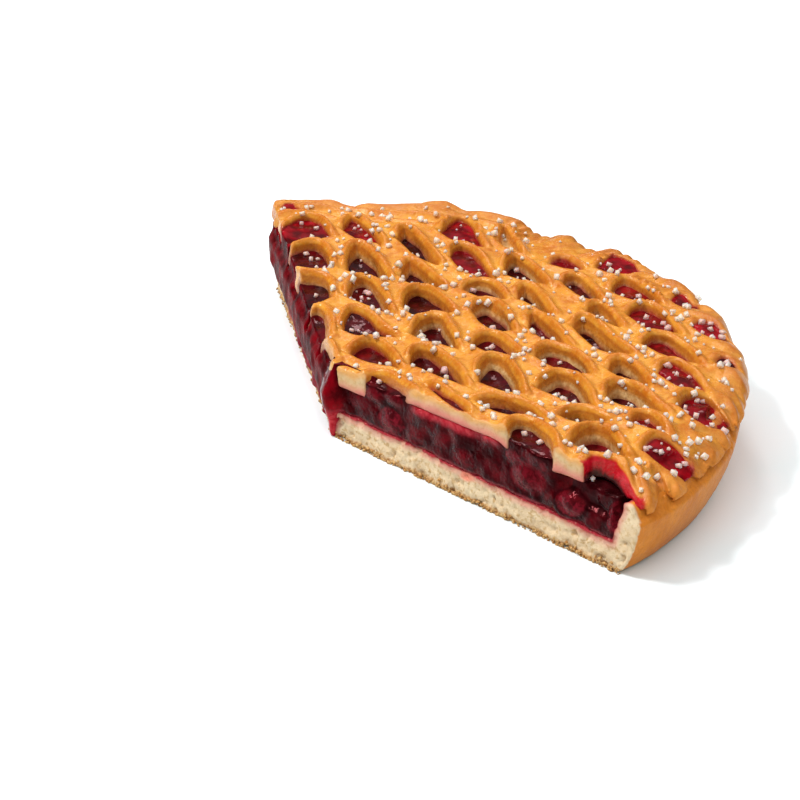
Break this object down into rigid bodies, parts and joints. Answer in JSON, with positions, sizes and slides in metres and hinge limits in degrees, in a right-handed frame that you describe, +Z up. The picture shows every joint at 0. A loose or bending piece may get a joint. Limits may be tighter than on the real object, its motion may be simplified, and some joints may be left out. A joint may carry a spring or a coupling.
{
  "type": "cut cherry lattice pie",
  "caption": "Round flat pie with a wedge cut away: baked base and wall, cherries in jelly showing at both cuts, open lattice top with sugar grains.",
  "frame": {"origin": "middle of the cut pie's bounding box, on the flat underside of the base", "axes": "+Z up out of the lattice, the shortest side; +Y along the longest side, away from the right-hand cut's tip; +X towards the rounded rim"},
  "size_m": [0.169, 0.2397, 0.0331],
  "materials": {
    "crust": "baked golden-brown crust, matte, with pale porous crumb where it is cut",
    "filling": "dark red cherries in glossy, half-clear jelly",
    "lattice": "egg-washed golden dough, softly glossy, paler where it is torn or shaded"
  },
  "bodies": {
    "root": {"crust": "crust", "cherry_filling": "filling", "lattice_top": "lattice"}
  },
  "joints": []
}
